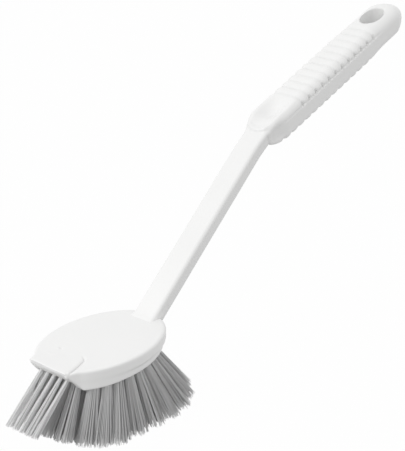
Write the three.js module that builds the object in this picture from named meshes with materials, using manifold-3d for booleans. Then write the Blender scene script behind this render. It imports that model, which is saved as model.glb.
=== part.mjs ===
// Pot brush: one moulded handle with an oval head and a scraper edge, rings of bristles and their anchors.
// Millimetres, +Z up. The origin is the middle of the head's flat top, and the grip points to +X.
import * as THREE from 'three';
import { mergeVertices } from 'three/addons/utils/BufferGeometryUtils.js';
import Module from 'manifold-3d';

const wasm = await Module();
wasm.setup();

// Head: an oval block, with a rounded rim over a bed that is set in
const HEAD_LENGTH = 70.4;
const HEAD_WIDTH = 46;
const HEAD_HEIGHT = 8.9;
const RIM_HEIGHT = 5.2;
const RIM_ROUND = 1;
const BED_STEP = 0.8;

// Scraper: a tongue on the head's top, with a straight front edge that the head's sides flare out to
const SCRAPER_WIDTH = 21;
const SCRAPER_TRIM = 1;
const TAIL_LENGTH = 5.7;
const TONGUE_LENGTH = 17.8;
const TONGUE_STRAIGHT = 12.6;
const TONGUE_TAPER = 1.9;
const TONGUE_RISE = 0.4;
const BLADE_HEIGHT = 0.9;

// Below the scraper: a slanted undercut, and a recess behind it for the front tufts
const UNDERCUT_DEPTH = 7.6;
const UNDERCUT_SIDE = 0.8;
const UNDERCUT_FLARE = 3.4;
const RECESS_DEPTH = 14;
const RECESS_WIDTH = 20.6;
const RECESS_HEIGHT = 5.7;

// Neck: a straight bar that leaves the rear of the head's top at a slant
const NECK_ANGLE = THREE.MathUtils.degToRad(39.8);
const NECK_LENGTH = 108;
const NECK_WIDTH = 12.4;
const NECK_TOP = 3.55;
const NECK_BOTTOM = 3.95;
const NECK_SETBACK = 8.6;
const SPINE_DEPTH = 3.9;
const NECK_FILLET = 0.5;
const NECK_FILLET_LENGTH = 3;
const NECK_ROOT = 3;

// Grip: a thicker bar at a lower slant, with a nose, a thumb rest, ribs and a hang hole
const GRIP_ANGLE = THREE.MathUtils.degToRad(18.4);
const GRIP_LENGTH = 128.5;
const GRIP_WIDTH = 19.4;
const GRIP_TOP = 7.4;
const GRIP_BOTTOM = 7.4;
const GRIP_BOTTOM_GROWTH = 1;
const GRIP_END_ROUND = 13;
const END_FLATNESS = 1.2;
const END_POINT = 0.3;
const END_SOFTENING = 30;
const BEND_REACH = 12;
const NOSE_LEAD = 2.5;
const NOSE_LENGTH = 12;
const CHIN_START = 1;
const CHIN_LENGTH = 13;
const CHIN_HEIGHT = 4;
const THUMB_START = 1;
const THUMB_LENGTH = 26;
const THUMB_DEPTH = 3.2;
const THUMB_EDGE = 2.2;

// Ribs: evenly spaced grooves, over the top above a ledge and along the underside
const RIB_PITCH = 6;
const FIRST_GROOVE = 28;
const TOP_GROOVES = 12;
const TOP_GROOVE_DEPTH = 0.8;
const LEDGE_HEIGHT = 2.5;
const FIRST_SCALLOP = 10;
const SCALLOPS = 14;
const SCALLOP_DEPTH = 0.7;

// Hang hole: an oval through the grip near its end
const HANG_HOLE_FROM_END = 21;
const HANG_HOLE_LENGTH = 16.4;
const HANG_HOLE_WIDTH = 11;

// Tufts of the bed: three rings and a short row along the middle, leaning out less at the front corners
const RINGS = 3;
const OUTER_TUFTS = 20;
const MIDDLE_TUFTS = 13;
const INNER_TUFTS = 8;
const CENTRE_TUFTS = 3;
const CENTRE_PITCH = 6;
const TUFT_EDGE = 4.3;
const TUFT_REAR_EDGE = 9.1;
const TUFT_FRONT_EDGE = 3.5;
const CORNER_WIDTH = 13.6;
const CORNER_START = 10;
const CORNER_END = 18;
const CORNER_CALM = 0.54;
const HOLE_DIAMETER = 4;
const HOLE_DEPTH = 4.1;
const STRANDS_ROUND_TUFT = 6;
const STRAND_DIAMETER = 0.85;
const STRAND_CIRCLE = 0.95;
const STRAND_LENGTH = 29.5;
const STRAND_FAN_LENGTH = 17;
const STRAND_TRIM = 5.6;
const FLARE_MIDDLE = 2.1;
const FLARE_FRONT = 29;
const FLARE_REAR = 34.8;
const FLARE_MOST = 0.76;
const FLARE_ACROSS = 50;
const FLARE_ACROSS_REAR = 1.4;

// Tufts of the recess: a slim row that leans far forward, and one tuft behind it at each side
const FRONT_TUFTS = 5;
const FRONT_PITCH = 3.8;
const FRONT_SETBACK = 7.8;
const FRONT_ANGLE = THREE.MathUtils.degToRad(49.7);
const FRONT_TRIM = 11.6;
const FRONT_HOLE_DIAMETER = 2.4;
const FRONT_HOLE_DEPTH = 2.8;
const FRONT_STRAND_DIAMETER = 0.6;
const FRONT_STRAND_CIRCLE = 0.7;
const FLANK_SETBACK = 11.6;
const FLANK_WIDTH = 7;
const FLANK_ANGLE = THREE.MathUtils.degToRad(31);

// Backing slices that the strands grow from, let into the head's underside and the recess's ceiling
const SLICE_HEIGHT = 1.6;
const BED_WALL = 1.2;
const PLATE_SETBACK = 5.6;
const PLATE_WALL = 0.8;

// Anchors: flat metal plates across the closed ends of the tuft holes
const ANCHOR_THICKNESS = 0.5;
const ANCHOR_HEIGHT = 1.4;

// Gap that pieces keep where they seat on each other
const GAP = 0.3;

// How finely round shapes are cut
const OVAL_SEGMENTS = 28;
const HOLE_SIDES = 6;
const SECTION_POINTS = 20;
const NECK_ROUNDNESS = 0.35;
const GRIP_ROUNDNESS = 0.5;
const ROUND_STEPS = 3;
const STATIONS_PER_RIB = 4;
const STATION_STEP = 2;

const POLYPROPYLENE = { color: 0xf2f2f0, roughness: 0.42, metalness: 0 };
const POLYESTER = { color: 0xa8a9aa, roughness: 0.55, metalness: 0 };
const STAINLESS_STEEL = { color: 0xb9bcc0, roughness: 0.3, metalness: 1 };

const headFront = -HEAD_LENGTH / 2 + SCRAPER_TRIM;
const recessBack = headFront + RECESS_DEPTH;
const bedHalfLength = HEAD_LENGTH / 2 - BED_STEP;
const bedHalfWidth = HEAD_WIDTH / 2 - BED_STEP;

// Heights at a place for tufts: its slice, the closed ends of its holes and the anchors in them
function heights(underside, holeDepth) {
  const sliceTop = underside + SLICE_HEIGHT;
  const floor = sliceTop + GAP;
  const holeEnd = floor + holeDepth;
  const anchorLow = holeEnd - GAP - ANCHOR_HEIGHT;
  return { underside, rootLow: underside + SLICE_HEIGHT / 2, sliceTop, floor, holeEnd, anchorLow };
}

const bed = heights(-HEAD_HEIGHT, HOLE_DEPTH);
const ceiling = heights(-RECESS_HEIGHT, FRONT_HOLE_DEPTH);

// Turns a closed three.js geometry into a solid that can be joined and cut
function solid(geometry) {
  const bare = geometry.clone();
  for (const name of ['normal', 'uv']) {
    bare.deleteAttribute(name);
  }
  const welded = mergeVertices(bare, 1e-4);
  return new wasm.Manifold(new wasm.Mesh({
    numProp: 3,
    vertProperties: new Float32Array(welded.attributes.position.array),
    triVerts: new Uint32Array(welded.index.array),
  }));
}

// Turns a solid back into a named mesh
function piece(name, body, finish) {
  const { vertProperties, triVerts } = body.getMesh();
  const geometry = new THREE.BufferGeometry();
  geometry.setAttribute('position', new THREE.Float32BufferAttribute(vertProperties, 3));
  geometry.setIndex(new THREE.BufferAttribute(triVerts, 1));
  geometry.computeVertexNormals();
  const mesh = new THREE.Mesh(geometry, new THREE.MeshStandardMaterial(finish));
  mesh.name = name;
  return mesh;
}

// A flat outline in X and Y, raised from one height to another
function slab(shape, low, high, options = {}) {
  const settings = { depth: high - low, bevelEnabled: false, curveSegments: OVAL_SEGMENTS, ...options };
  return new THREE.ExtrudeGeometry(shape, settings).translate(0, 0, low);
}

function box(low, high) {
  const size = new THREE.Vector3().subVectors(high, low);
  const middle = new THREE.Vector3().addVectors(low, high).multiplyScalar(0.5);
  return solid(new THREE.BoxGeometry(size.x, size.y, size.z).translate(middle.x, middle.y, middle.z));
}

function oval(halfLength, halfWidth, middle = 0) {
  return new THREE.Shape().absellipse(middle, 0, halfLength, halfWidth, 0, 2 * Math.PI);
}

// A slab with both its edges rounded, that keeps its outline and heights
function roundedSlab(shape, low, high, round) {
  const inner = {
    bevelEnabled: true,
    bevelSize: round,
    bevelOffset: -round,
    bevelThickness: round,
    bevelSegments: ROUND_STEPS,
  };
  return slab(shape, low + round, high - round, inner);
}

// A round-ended skin through closed sections that all have the same number of points
function loft(sections) {
  const count = sections[0].length;
  const positions = sections.flat().flatMap((point) => [point.x, point.y, point.z]);
  const index = [];
  for (let row = 0; row + 1 < sections.length; row += 1) {
    for (let i = 0; i < count; i += 1) {
      const a = row * count + i;
      const b = row * count + (i + 1) % count;
      index.push(a, b, b + count, a, b + count, a + count);
    }
  }
  const last = (sections.length - 1) * count;
  for (let i = 1; i + 1 < count; i += 1) {
    index.push(0, i + 1, i);
    index.push(last, last + i, last + i + 1);
  }
  const geometry = new THREE.BufferGeometry();
  geometry.setAttribute('position', new THREE.Float32BufferAttribute(positions, 3));
  geometry.setIndex(index);
  return geometry;
}

// The spine runs up the middle of the neck and on along the middle of the grip
const neckAlong = new THREE.Vector3(Math.cos(NECK_ANGLE), 0, Math.sin(NECK_ANGLE));
const neckUp = new THREE.Vector3(-Math.sin(NECK_ANGLE), 0, Math.cos(NECK_ANGLE));
const gripAlong = new THREE.Vector3(Math.cos(GRIP_ANGLE), 0, Math.sin(GRIP_ANGLE));
const gripUp = new THREE.Vector3(-Math.sin(GRIP_ANGLE), 0, Math.cos(GRIP_ANGLE));
const neckTop = new THREE.Vector3(HEAD_LENGTH / 2 - NECK_SETBACK, 0, 0);
const neckFoot = neckTop.addScaledVector(neckUp, -SPINE_DEPTH);
const gripStart = neckFoot.clone().addScaledVector(neckAlong, NECK_LENGTH);

// Where the spine is at a distance from the start of the grip, with the neck at negative distances
function spineAt(distance) {
  const turn = THREE.MathUtils.clamp((distance + BEND_REACH) / (2 * BEND_REACH), 0, 1);
  if (turn === 0 || turn === 1) {
    const along = turn === 0 ? neckAlong : gripAlong;
    const up = turn === 0 ? neckUp : gripUp;
    return { middle: gripStart.clone().addScaledVector(along, distance), up };
  }
  const bend = new THREE.QuadraticBezierCurve3(
    gripStart.clone().addScaledVector(neckAlong, -BEND_REACH),
    gripStart,
    gripStart.clone().addScaledVector(gripAlong, BEND_REACH),
  );
  const along = bend.getTangent(turn);
  return { middle: bend.getPoint(turn), up: new THREE.Vector3(-along.z, 0, along.x) };
}

// Squares off a circle's coordinate, so that a section has flat sides and round corners
const square = (value, roundness) => Math.sign(value) * Math.abs(value) ** roundness;

const ease = (distance, from, to) => THREE.MathUtils.smoothstep(distance, from, to);

// How deep a groove or scallop is at a distance, from 0 on a rib to 1 in the middle of a groove
function groove(distance, first, count) {
  const turn = (distance - first) / RIB_PITCH;
  if (turn < -0.5 || turn > count - 0.5) {
    return 0;
  }
  return ((1 + Math.cos(2 * Math.PI * turn)) / 2) ** 2;
}

// A quarter round from 0 at a start, steep at first, to 1 at its full length
function bulge(distance, start, length) {
  const turn = THREE.MathUtils.clamp((distance - start) / length, 0, 1);
  return Math.sqrt(turn * (2 - turn));
}

// One closed section across the neck or grip
function sectionAt(distance) {
  const { lerp, clamp } = THREE.MathUtils;
  const { middle, up } = spineAt(distance);
  const widen = ease(distance, -NOSE_LEAD, NOSE_LENGTH - NOSE_LEAD);
  const deepen = bulge(distance, CHIN_START, CHIN_LENGTH);
  const foot = 1 - ease(distance, -NECK_LENGTH, NECK_FILLET_LENGTH - NECK_LENGTH);
  const endTurn = Math.max(0, distance - GRIP_LENGTH + GRIP_END_ROUND) / GRIP_END_ROUND;
  const narrow = Math.sqrt(Math.max(0, 1 - endTurn ** 2));
  const end = Math.max(narrow, END_POINT / GRIP_WIDTH);
  const flatten = Math.max(narrow ** END_FLATNESS, END_POINT / GRIP_TOP);
  const soften = ease(distance, GRIP_LENGTH - END_SOFTENING, GRIP_LENGTH);
  const roundness = lerp(lerp(NECK_ROUNDNESS, GRIP_ROUNDNESS, widen), 1, soften);
  const growth = GRIP_BOTTOM_GROWTH * Math.max(0, distance) / GRIP_LENGTH;
  const fillet = NECK_FILLET * foot;
  const halfWidth = (lerp(NECK_WIDTH, GRIP_WIDTH, widen) / 2 + fillet) * end;
  const lowHalfWidth = (lerp(NECK_WIDTH, GRIP_WIDTH, deepen) / 2 + fillet) * end;
  const top = (lerp(NECK_TOP, GRIP_TOP, widen) + fillet) * flatten;
  const bottom = (lerp(NECK_BOTTOM, GRIP_BOTTOM + growth, deepen) + fillet) * flatten;
  const thumbTurn = clamp((distance - THUMB_START) / THUMB_LENGTH, 0, 1);
  const dish = THUMB_DEPTH * Math.sin(Math.PI * thumbTurn) ** 1.3;
  const dishHalfWidth = halfWidth - Math.min(THUMB_EDGE, halfWidth / 2);
  const topGroove = TOP_GROOVE_DEPTH * groove(distance, FIRST_GROOVE, TOP_GROOVES);
  const scallop = SCALLOP_DEPTH * groove(distance, FIRST_SCALLOP, SCALLOPS);
  const points = [];
  for (let i = 0; i < SECTION_POINTS; i += 1) {
    const angle = 2 * Math.PI * (i + 0.5) / SECTION_POINTS;
    const side = square(Math.cos(angle), roundness);
    let height = square(Math.sin(angle), roundness);
    height *= height > 0 ? top : bottom - scallop;
    let across = side * lerp(lowHalfWidth, halfWidth, ease(height, 0, CHIN_HEIGHT));
    if (height > LEDGE_HEIGHT) {
      const pull = 1 - topGroove / Math.hypot(across, height);
      across *= pull;
      height *= pull;
    }
    if (height > 0) {
      height -= dish * Math.max(0, 1 - (across / dishHalfWidth) ** 2) ** 1.5;
    }
    points.push(middle.clone().addScaledVector(up, height).setY(across));
  }
  return points;
}

// Distances of the sections: close together where the shape changes quickly
function stations() {
  const firstRib = FIRST_SCALLOP - RIB_PITCH / 2;
  const lastRib = Math.max(FIRST_SCALLOP + SCALLOPS * RIB_PITCH, FIRST_GROOVE + TOP_GROOVES * RIB_PITCH);
  const endStart = GRIP_LENGTH - GRIP_END_ROUND;
  const list = [-NECK_LENGTH - NECK_ROOT];
  for (let step = 0; step <= ROUND_STEPS; step += 1) {
    list.push(-NECK_LENGTH + NECK_FILLET_LENGTH * step / ROUND_STEPS);
  }
  for (let at = -BEND_REACH - STATION_STEP; at < firstRib - STATION_STEP / 2; at += STATION_STEP) {
    list.push(at);
  }
  const ribStep = RIB_PITCH / STATIONS_PER_RIB;
  for (let at = firstRib; at < Math.min(lastRib, endStart - ribStep / 2); at += ribStep) {
    list.push(at);
  }
  const endSteps = 2 * ROUND_STEPS;
  for (let step = 0; step <= endSteps; step += 1) {
    list.push(endStart + GRIP_END_ROUND * Math.sin(Math.PI / 2 * step / endSteps));
  }
  return list;
}

function hangHole() {
  const reach = 2 * (GRIP_TOP + GRIP_BOTTOM + GRIP_BOTTOM_GROWTH);
  const shape = oval(HANG_HOLE_LENGTH / 2, HANG_HOLE_WIDTH / 2);
  const { middle } = spineAt(GRIP_LENGTH - HANG_HOLE_FROM_END);
  const cut = slab(shape, -reach / 2, reach / 2).rotateY(-GRIP_ANGLE);
  return solid(cut.translate(middle.x, middle.y, middle.z));
}

// The head's outline from above: an oval, with straight sides that flare out to the scraper's edge
function headOutline(inset) {
  const halfLength = HEAD_LENGTH / 2 - inset;
  const front = headFront + inset;
  const turn = Math.acos((front + TAIL_LENGTH) / halfLength);
  const shape = new THREE.Shape();
  shape.moveTo(front, SCRAPER_WIDTH / 2 - inset);
  shape.lineTo(front, inset - SCRAPER_WIDTH / 2);
  shape.absellipse(0, 0, halfLength, HEAD_WIDTH / 2 - inset, -turn, turn);
  return shape;
}

// The tongue lies flush at its rounded rear end and stands proud at its front edge
function tongue() {
  const half = SCRAPER_WIDTH / 2;
  const rearHalf = half - TONGUE_TAPER;
  const bend = TONGUE_LENGTH - TONGUE_STRAIGHT;
  const shape = new THREE.Shape();
  shape.moveTo(-TONGUE_LENGTH, half);
  shape.lineTo(-TONGUE_LENGTH, -half);
  shape.lineTo(-bend, -rearHalf);
  shape.absellipse(-bend, 0, bend, rearHalf, -Math.PI / 2, Math.PI / 2);
  const tilt = Math.atan2(TONGUE_RISE, TONGUE_LENGTH);
  const plate = slab(shape, -BLADE_HEIGHT, 0).rotateY(tilt);
  return solid(plate.translate(headFront + TONGUE_LENGTH, 0, 0));
}

// The undercut widens downwards, so that the front ends of the wall slant back
function undercut() {
  const topWidth = SCRAPER_WIDTH + 2 * UNDERCUT_SIDE;
  const footWidth = topWidth + 2 * UNDERCUT_FLARE;
  const corners = (edge, width, height) => [
    new THREE.Vector3(headFront - HEAD_LENGTH, -width / 2, height),
    new THREE.Vector3(edge, -width / 2, height),
    new THREE.Vector3(edge, width / 2, height),
    new THREE.Vector3(headFront - HEAD_LENGTH, width / 2, height),
  ];
  return solid(loft([
    corners(headFront + UNDERCUT_DEPTH, footWidth, -HEAD_HEIGHT - BLADE_HEIGHT),
    corners(headFront + UNDERCUT_DEPTH, footWidth, -HEAD_HEIGHT),
    corners(headFront, topWidth, TONGUE_RISE - BLADE_HEIGHT),
  ]));
}

// The recess behind the undercut, or a larger block round it, between two heights
function recess(outset, low, high) {
  const half = RECESS_WIDTH / 2 + outset;
  const front = new THREE.Vector3(headFront - HEAD_LENGTH, -half, low);
  return box(front, new THREE.Vector3(recessBack + outset, half, high));
}

// All that lies lower than the head, so that the neck's root ends level with it
function underHead() {
  const low = new THREE.Vector3(-HEAD_LENGTH, -HEAD_WIDTH, -HEAD_HEIGHT - HEAD_LENGTH);
  return box(low, new THREE.Vector3(HEAD_LENGTH, HEAD_WIDTH, -HEAD_HEIGHT));
}

// The floor of the bed inside its wall, behind the undercut and round the recess
function bedFloor(inset, low, high) {
  const outline = solid(slab(headOutline(BED_STEP + inset), low, high));
  const front = new THREE.Vector3(headFront + UNDERCUT_DEPTH + inset, -HEAD_WIDTH, low);
  return outline.intersect(box(front, new THREE.Vector3(HEAD_LENGTH, HEAD_WIDTH, high)))
    .subtract(recess(inset, low, high));
}

// The plate in the recess's ceiling, or the pocket that it lies in
function frontPlate(outset, low, high) {
  const half = RECESS_WIDTH / 2 - PLATE_WALL + outset;
  const front = new THREE.Vector3(headFront + PLATE_SETBACK - outset, -half, low);
  return box(front, new THREE.Vector3(recessBack - PLATE_WALL + outset, half, high));
}

// Rings of tufts, from the outside in
const outerHalfWidth = bedHalfWidth - TUFT_EDGE;
const outerRear = bedHalfLength - TUFT_REAR_EDGE;
const ringStep = outerHalfWidth / RINGS;
const ringFront = recessBack + TUFT_FRONT_EDGE - ringStep;
const ringMiddle = (ringFront + outerRear) / 2;
const ringHalfLength = (outerRear - ringFront) / 2;

// Points round the rear and the sides, from one front corner to the other
function outerRing() {
  const reach = Math.PI - Math.asin(CORNER_WIDTH / outerHalfWidth);
  const oneOval = new THREE.EllipseCurve(0, 0, outerRear, outerHalfWidth, -reach, reach);
  const stretch = (bedHalfLength - TUFT_EDGE) / outerRear;
  const line = oneOval.getPoints(4 * OUTER_TUFTS)
    .map((point) => new THREE.Vector2(point.x < 0 ? point.x * stretch : point.x, point.y));
  return new THREE.SplineCurve(line).getSpacedPoints(OUTER_TUFTS - 1);
}

function innerRing(count, steps) {
  const halfLength = ringHalfLength - steps * ringStep;
  const halfWidth = outerHalfWidth - steps * ringStep;
  const curve = new THREE.EllipseCurve(ringMiddle, 0, halfLength, halfWidth, -Math.PI, Math.PI);
  return curve.getSpacedPoints(count).slice(0, count);
}

function row(count, pitch, place) {
  return Array.from({ length: count }, (_, i) => place((i - (count - 1) / 2) * pitch));
}

const centreRow = row(CENTRE_TUFTS, CENTRE_PITCH, (x) => new THREE.Vector2(ringMiddle + x, 0));

// What the hole and the strands of a tuft measure
const thick = { hole: HOLE_DIAMETER, diameter: STRAND_DIAMETER, circle: STRAND_CIRCLE };
const slim = { hole: FRONT_HOLE_DIAMETER, diameter: FRONT_STRAND_DIAMETER, circle: FRONT_STRAND_CIRCLE };

// A tuft of the bed leans outwards, the more the further out it stands
function bedTuft(point) {
  const { x, y } = point;
  const corner = ease(-x, CORNER_START, CORNER_END) * ease(Math.abs(y), RECESS_WIDTH / 2, CORNER_WIDTH);
  const calm = 1 - CORNER_CALM * corner;
  const ahead = x - FLARE_MIDDLE;
  const along = Math.min(ahead / (ahead < 0 ? FLARE_FRONT : FLARE_REAR), FLARE_MOST);
  const rear = Math.max(x, 0) / bedHalfLength;
  const across = y / FLARE_ACROSS * (1 + FLARE_ACROSS_REAR * rear);
  const lean = new THREE.Vector3(along * calm, across * calm, -1);
  return { point, lean, place: bed, trim: STRAND_TRIM, ...thick };
}

function slimTuft(y) {
  const lean = new THREE.Vector3(-Math.tan(FRONT_ANGLE), 0, -1);
  const point = new THREE.Vector2(headFront + FRONT_SETBACK, y);
  return { point, lean, place: ceiling, trim: FRONT_TRIM, ...slim };
}

function flankTuft(y) {
  const lean = new THREE.Vector3(-Math.tan(FLANK_ANGLE), y / FLARE_ACROSS, -1);
  const point = new THREE.Vector2(headFront + FLANK_SETBACK, y);
  return { point, lean, place: ceiling, trim: STRAND_TRIM, ...thick };
}

const tufts = {
  front: [...row(FRONT_TUFTS, FRONT_PITCH, slimTuft), flankTuft(-FLANK_WIDTH), flankTuft(FLANK_WIDTH)],
  outer: outerRing().map(bedTuft),
  middle: innerRing(MIDDLE_TUFTS, 1).map(bedTuft),
  inner: [...innerRing(INNER_TUFTS, 2), ...centreRow].map(bedTuft),
};
const allTufts = Object.values(tufts).flat();

function roundPost(point, diameter, low, high) {
  const post = new THREE.CylinderGeometry(diameter / 2, diameter / 2, high - low, HOLE_SIDES);
  return solid(post.rotateX(Math.PI / 2).translate(point.x, point.y, (low + high) / 2));
}

function handle() {
  const farBelow = -HEAD_HEIGHT - HEAD_LENGTH;
  const head = solid(roundedSlab(headOutline(0), -RIM_HEIGHT, 0, RIM_ROUND))
    .add(solid(slab(headOutline(BED_STEP), -HEAD_HEIGHT, -RIM_ROUND)))
    .add(tongue())
    .subtract(undercut())
    .subtract(recess(0, farBelow, ceiling.underside));
  const bar = solid(loft(stations().map(sectionAt))).subtract(underHead());
  const holes = allTufts
    .map(({ point, hole, place }) => roundPost(point, hole, place.rootLow, place.holeEnd));
  const body = head.add(bar)
    .subtract(hangHole())
    .subtract(bedFloor(BED_WALL, farBelow, bed.floor))
    .subtract(frontPlate(GAP, farBelow, ceiling.floor))
    .subtract(wasm.Manifold.union(holes));
  return piece('handle', body, POLYPROPYLENE);
}

// Three-sided strand along the tuft's lean, cut level at its tip
function strand(tuft, offset, turn) {
  const { point, place } = tuft;
  const foot = new THREE.Vector3(point.x + offset.x, point.y + offset.y, place.rootLow);
  const fan = new THREE.Vector3(offset.x, offset.y, 0).divideScalar(STRAND_FAN_LENGTH);
  const lean = tuft.lean.clone().add(fan);
  const drop = Math.min(STRAND_LENGTH / lean.length(), STRAND_LENGTH - tuft.trim);
  const tip = foot.clone().addScaledVector(lean, drop + place.rootLow - place.underside);
  const ends = [tip, foot].map((middle) => Array.from({ length: 3 }, (_, i) => {
    const angle = turn + 2 * Math.PI * i / 3;
    const side = new THREE.Vector3(Math.cos(angle), Math.sin(angle), 0);
    return middle.clone().addScaledVector(side, tuft.diameter / 2);
  }));
  return solid(loft(ends));
}

function strands(tuft, number) {
  const goldenTurn = Math.PI * (3 - Math.sqrt(5));
  const bundle = [strand(tuft, new THREE.Vector2(), number * goldenTurn)];
  for (let i = 0; i < STRANDS_ROUND_TUFT; i += 1) {
    const turn = number * goldenTurn + 2 * Math.PI * i / STRANDS_ROUND_TUFT;
    const offset = new THREE.Vector2(Math.cos(turn), Math.sin(turn)).multiplyScalar(tuft.circle);
    bundle.push(strand(tuft, offset, turn));
  }
  const { rootLow, anchorLow } = tuft.place;
  return [...bundle, roundPost(tuft.point, tuft.hole - 2 * GAP, rootLow, anchorLow - GAP)];
}

// An oval halfway between two rings, that parts their slices
function parting(steps, clearance) {
  const length = ringHalfLength - steps * ringStep + clearance;
  const width = outerHalfWidth - steps * ringStep + clearance;
  return solid(slab(oval(length, width, ringMiddle), bed.underside - SLICE_HEIGHT, bed.floor + SLICE_HEIGHT));
}

function bristles(name, slice) {
  const bundles = tufts[name].flatMap(strands);
  return piece(`bristles_${name}`, wasm.Manifold.union([slice, ...bundles]), POLYESTER);
}

function anchor({ point, hole, place }, number) {
  const length = hole * Math.cos(Math.PI / HOLE_SIDES) - 2 * GAP;
  const plate = new THREE.BoxGeometry(ANCHOR_THICKNESS, length, ANCHOR_HEIGHT);
  const mesh = new THREE.Mesh(plate, new THREE.MeshStandardMaterial(STAINLESS_STEEL));
  mesh.position.set(point.x, point.y, place.anchorLow + ANCHOR_HEIGHT / 2);
  mesh.name = `anchor_${String(number + 1).padStart(2, '0')}`;
  return mesh;
}

const brush = new THREE.Group();
brush.name = 'pot_brush';
brush.add(handle());
const floor = bedFloor(BED_WALL + GAP, bed.underside, bed.sliceTop);
brush.add(bristles('front', frontPlate(0, ceiling.underside, ceiling.sliceTop)));
brush.add(bristles('outer', floor.subtract(parting(0.5, GAP / 2))));
brush.add(bristles('middle', floor.intersect(parting(0.5, -GAP / 2)).subtract(parting(1.5, GAP / 2))));
brush.add(bristles('inner', floor.intersect(parting(1.5, -GAP / 2))));
allTufts.forEach((tuft, number) => brush.add(anchor(tuft, number)));

export default brush;
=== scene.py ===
"""Pot brush: a white moulded handle with a scraper head, and tufts of filament under the head.

Sizes are in millimetres and become metres where a mesh is made. X runs from the scraper edge towards the
grip, Y across the head, and Z up from the head's flat top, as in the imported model.
"""
import logging
import math
import random
from dataclasses import dataclass, field
from enum import Enum

import bmesh
import bpy
from bmesh.types import BMVert, BMesh
from bpy.types import Material, Mesh, Node, NodeSocket, NodeTree, Object
from mathutils import Matrix, Vector


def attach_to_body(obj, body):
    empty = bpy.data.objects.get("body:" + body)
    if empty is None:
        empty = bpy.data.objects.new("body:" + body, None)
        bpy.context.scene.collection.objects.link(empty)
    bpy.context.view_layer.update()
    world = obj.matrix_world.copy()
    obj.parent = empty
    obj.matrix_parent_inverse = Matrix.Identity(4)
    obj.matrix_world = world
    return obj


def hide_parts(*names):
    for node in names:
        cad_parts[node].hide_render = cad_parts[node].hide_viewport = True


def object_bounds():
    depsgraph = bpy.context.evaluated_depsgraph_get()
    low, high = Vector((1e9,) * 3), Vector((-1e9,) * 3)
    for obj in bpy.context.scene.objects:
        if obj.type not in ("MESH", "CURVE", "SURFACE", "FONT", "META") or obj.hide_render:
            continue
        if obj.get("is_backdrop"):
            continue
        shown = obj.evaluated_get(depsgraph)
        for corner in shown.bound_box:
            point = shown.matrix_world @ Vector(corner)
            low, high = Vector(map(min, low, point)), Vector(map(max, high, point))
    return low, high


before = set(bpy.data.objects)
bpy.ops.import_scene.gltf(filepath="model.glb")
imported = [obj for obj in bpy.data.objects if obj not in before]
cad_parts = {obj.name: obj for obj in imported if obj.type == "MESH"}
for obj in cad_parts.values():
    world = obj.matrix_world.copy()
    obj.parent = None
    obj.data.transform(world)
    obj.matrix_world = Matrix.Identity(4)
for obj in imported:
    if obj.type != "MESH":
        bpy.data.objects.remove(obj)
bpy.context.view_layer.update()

MM = 0.001
GOLDEN_TURN = math.pi * (3.0 - math.sqrt(5.0))
BODY = "root"
# The strands' attribute holds each strand's own tone, and also painted light: the front row's strands are
# made paler in it.
STRAND_TONE_AND_PAINTED_LIGHT = "strand_tone_and_painted_light"
WHITE = (1.0, 1.0, 1.0, 1.0)
LOG = logging.getLogger("pot_brush")
Span = tuple[float, float]
Triple = tuple[float, float, float]


class Slot(Enum):
    """The record's material slots."""

    WHITE = "white_polypropylene"
    FILAMENT = "polyester_filament"
    STEEL = "anchor_steel"


class Ring(Enum):
    """The groups of tufts: the front row, and the rings from the edge of the head inwards."""

    FRONT = "front"
    OUTER = "outer"
    MIDDLE = "middle"
    INNER = "inner"


def clamp(value: float) -> float:
    """Returns a value held within 0 and 1."""
    return min(max(value, 0.0), 1.0)


def ease(value: float, low: float, high: float) -> float:
    """Returns a smooth step from 0 at low to 1 at high."""
    turn = clamp((value - low) / (high - low))
    return turn * turn * (3.0 - 2.0 * turn)


def swell(value: float, rise: Span, fall: Span) -> float:
    """Returns a smooth hump that grows over the rise and goes over the fall."""
    return ease(value, *rise) * (1.0 - ease(value, *fall))


def bulge(value: float, low: float, high: float) -> float:
    """Returns a quarter round from 0 at low, steep at first, to 1 at high."""
    turn = clamp((value - low) / (high - low))
    return math.sqrt(turn * (2.0 - turn))


def between(start: float, end: float, share: float) -> float:
    """Returns the value at a share of the way from start to end."""
    return start + (end - start) * share


def wrap_rings(shape: BMesh, rings: list[list[Vector]]) -> None:
    """Wraps a grid round a stack of closed rings, joins its seam and caps both ends.

    Args:
        shape: The bmesh that gets the closed skin.
        rings: The rings from one end to the other, all with the same number of points.
    """
    around, along = len(rings[0]), len(rings) - 1
    skin = bmesh.ops.create_grid(shape, x_segments=around, y_segments=along, size=1.0)["verts"]
    for vert in skin:
        place = round((vert.co.x + 1.0) / 2.0 * around) % around
        row = round((vert.co.y + 1.0) / 2.0 * along)
        vert.co = rings[row][place] * MM
    bmesh.ops.remove_doubles(shape, verts=skin, dist=1e-7)
    rims = [edge for edge in shape.edges if edge.is_boundary]
    bmesh.ops.holes_fill(shape, edges=rims, sides=0)
    bmesh.ops.recalc_face_normals(shape, faces=shape.faces[:])


def new_piece(name: str, shape: BMesh) -> Object:
    """Turns a bmesh into an object at the origin with smooth faces.

    Args:
        name: The object's name.
        shape: The bmesh, which is freed.

    Returns:
        The object, linked to the scene.
    """
    mesh = bpy.data.meshes.new(name)
    shape.to_mesh(mesh)
    shape.free()
    mesh.shade_smooth()
    piece = bpy.data.objects.new(name, mesh)
    bpy.context.scene.collection.objects.link(piece)
    return piece


def place_unit(name: str, shape: BMesh, size: Vector, middle: Vector) -> Object:
    """Scales a unit shape, sets it in its place and turns it into an object.

    Args:
        name: The object's name.
        shape: The bmesh, which is freed.
        size: The scale along each axis, in millimetres.
        middle: The place of its middle, in millimetres.

    Returns:
        The object.
    """
    bmesh.ops.scale(shape, vec=size * MM, verts=shape.verts[:])
    bmesh.ops.translate(shape, vec=middle * MM, verts=shape.verts[:])
    return new_piece(name, shape)


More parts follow.
